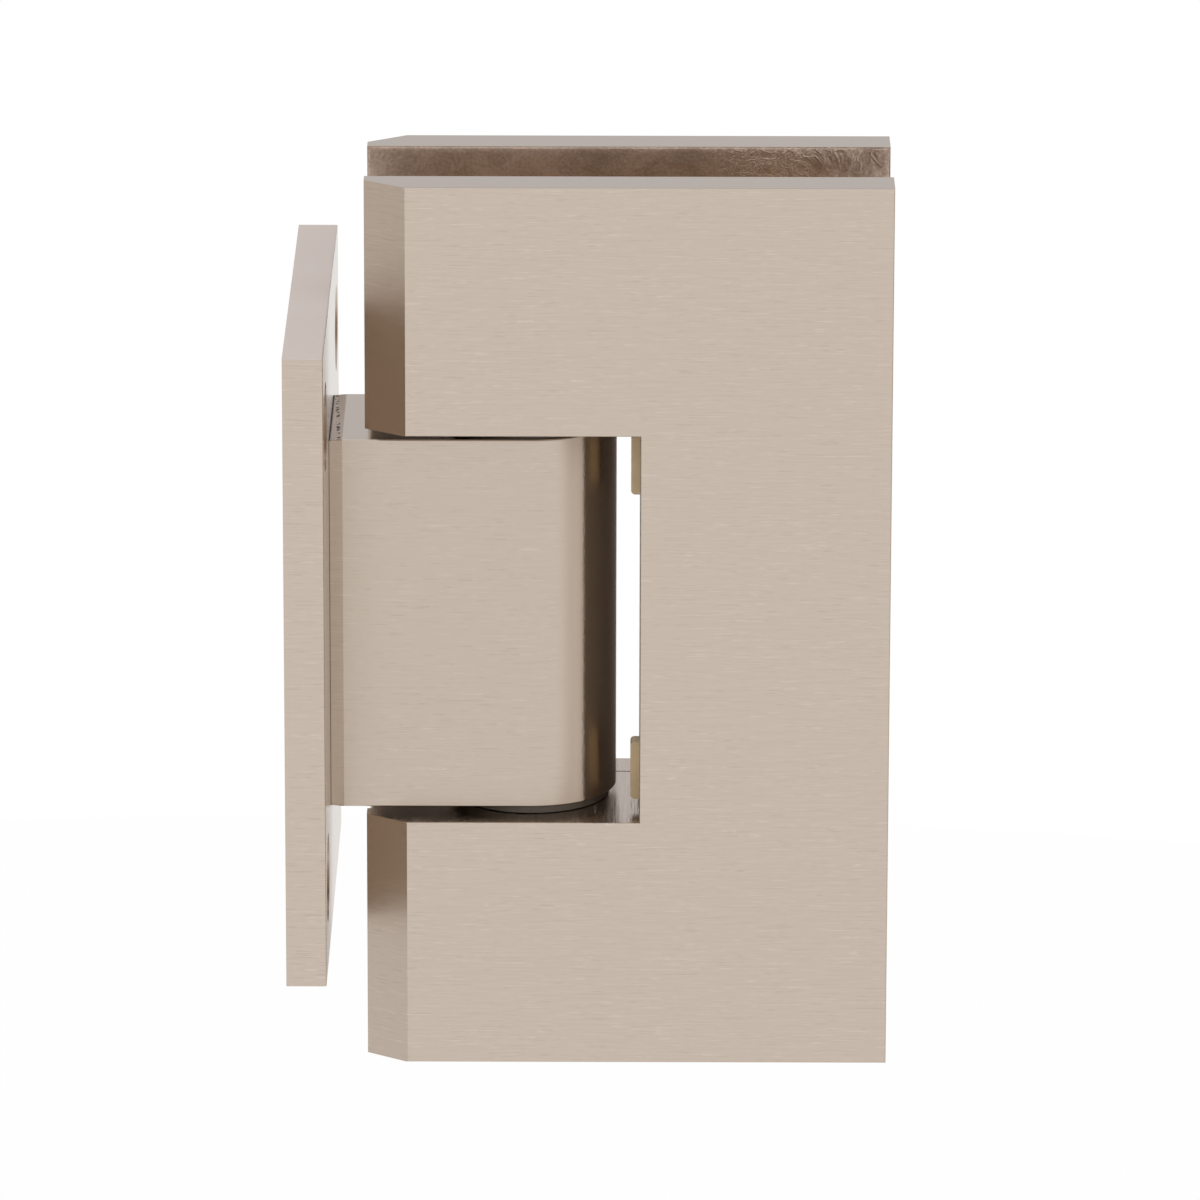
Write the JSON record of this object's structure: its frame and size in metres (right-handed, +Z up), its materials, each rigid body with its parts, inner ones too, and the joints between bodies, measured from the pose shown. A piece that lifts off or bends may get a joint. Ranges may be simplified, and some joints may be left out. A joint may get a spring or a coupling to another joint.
{
  "type": "shower door hinge",
  "caption": "Wall-to-glass shower door hinge: a flat wall plate with a round-ended pivot block, and a notched two-plate glass clamp that swings on a hidden pin with sprung detents.",
  "frame": {"origin": "middle of the wall plate's wall face, which is the middle of its four screw holes", "axes": "+X from the wall to the door, +Y away from the room side, +Z up along the pivot pin"},
  "size_m": [0.0586, 0.0512, 0.089],
  "materials": {
    "brushed_nickel": "brushed nickel plating on brass",
    "steel": "plain turned steel",
    "grey_nylon": "matt moulded nylon",
    "amber_pvc": "soft translucent sheet"
  },
  "bodies": {
    "wall_bracket": {"wall_plate": "brushed_nickel", "pivot_block": "brushed_nickel", "block_screws": "steel", "upper_bush": "grey_nylon", "lower_bush": "grey_nylon", "upper_spring": "steel", "lower_spring": "steel"},
    "door_clamp": {"front_plate": "brushed_nickel", "rear_plate": "brushed_nickel", "front_gasket": "amber_pvc", "rear_gasket": "amber_pvc", "upper_pad": "amber_pvc", "lower_pad": "amber_pvc", "clamp_screws": "steel", "pivot_pin": "steel"},
    "upper_detent": {"upper_plunger": "steel"},
    "lower_detent": {"lower_plunger": "steel"}
  },
  "joints": [
    {"name": "door_swing", "type": "hinge", "parent": "wall_bracket", "child": "door_clamp", "pos_m": [0.0235, 0, 0], "axis": [0, 0, 1], "range_deg": [-90, 90]},
    {"name": "upper_plunger_slide", "type": "slide", "parent": "wall_bracket", "child": "upper_detent", "axis": [1, 0, 0], "range_m": [0, 0.0008], "stiffness_N_per_m": 8000, "springref_m": 0.0008, "deforming": ["upper_spring"]},
    {"name": "lower_plunger_slide", "type": "slide", "parent": "wall_bracket", "child": "lower_detent", "axis": [1, 0, 0], "range_m": [0, 0.0008], "stiffness_N_per_m": 8000, "springref_m": 0.0008, "deforming": ["lower_spring"]}
  ],
  "couplings": [
    {"joint": "lower_plunger_slide", "follows": "upper_plunger_slide", "ratio": 1}
  ]
}
